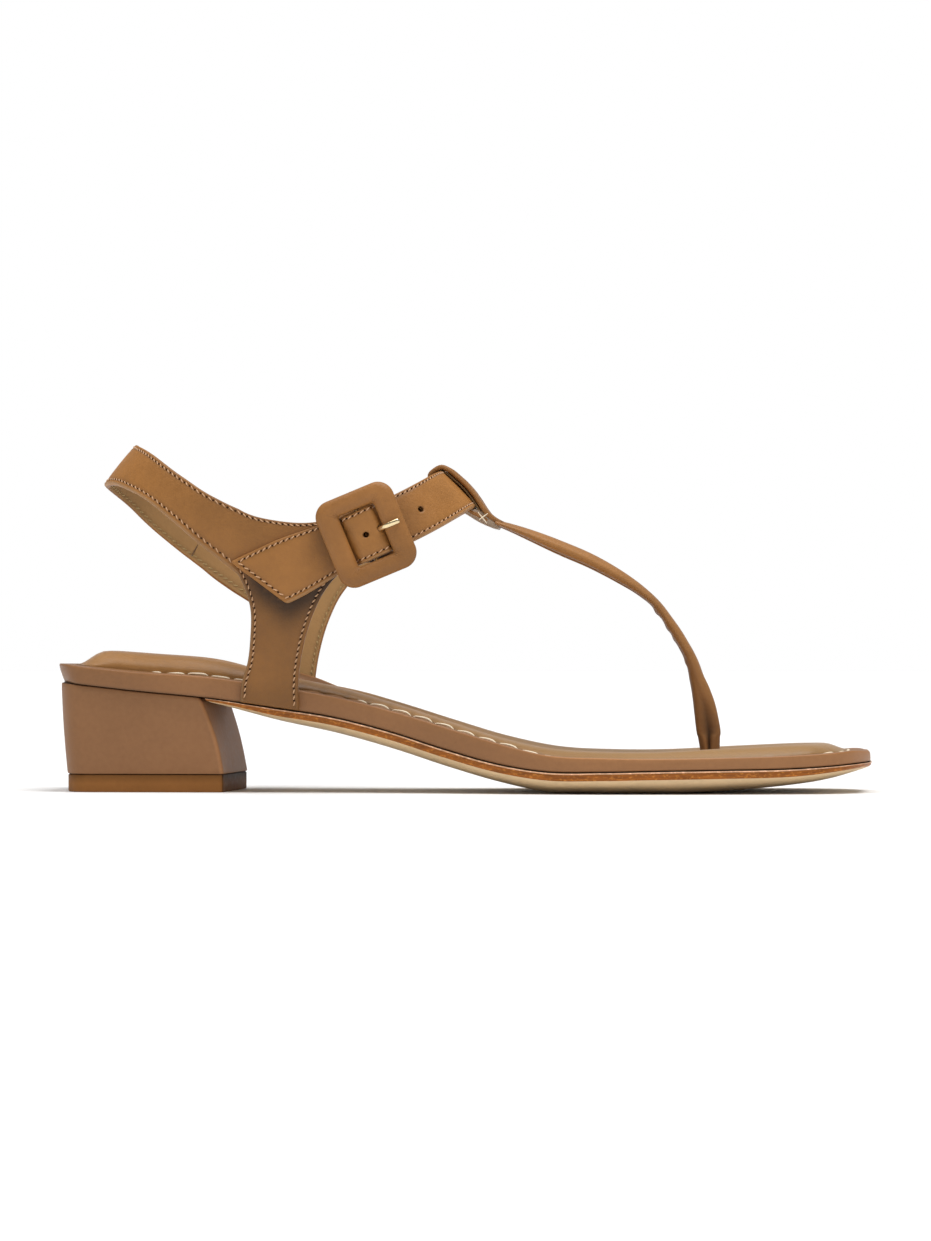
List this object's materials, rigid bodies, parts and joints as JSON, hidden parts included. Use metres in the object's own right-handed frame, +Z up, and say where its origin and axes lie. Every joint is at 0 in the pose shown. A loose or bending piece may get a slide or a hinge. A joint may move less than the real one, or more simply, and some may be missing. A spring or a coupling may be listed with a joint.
{
  "type": "heeled sandal",
  "caption": "Right T-strap thong sandal with a low block heel, padded foot bed, heel sling, and an ankle strap with a covered buckle.",
  "frame": {"origin": "middle of the shoe's box, on the floor plane that the heel and the forefoot stand on", "axes": "+X from the heel towards the toe, +Y from the outer side with the buckle towards the inner side of the foot, +Z up"},
  "size_m": [0.247, 0.0833, 0.106],
  "materials": {
    "outsole_leather": "natural leather with a burnished edge",
    "rim_leather": "smooth tan leather",
    "foot_bed_leather": "soft tan leather, padded and sewn",
    "heel_leather": "smooth tan leather",
    "top_piece_rubber": "matt brown",
    "strap_leather": "soft tan leather",
    "buckle_leather": "soft tan leather over a frame",
    "pale_brass": "pale gold, polished"
  },
  "bodies": {
    "root": {"outsole": "outsole_leather", "midsole": "rim_leather", "insole": "foot_bed_leather", "heel_block": "heel_leather", "heel_top_piece": "top_piece_rubber", "upper": "strap_leather", "buckle_frame": "buckle_leather", "buckle_bar": "pale_brass", "buckle_prong": "pale_brass"}
  },
  "joints": []
}
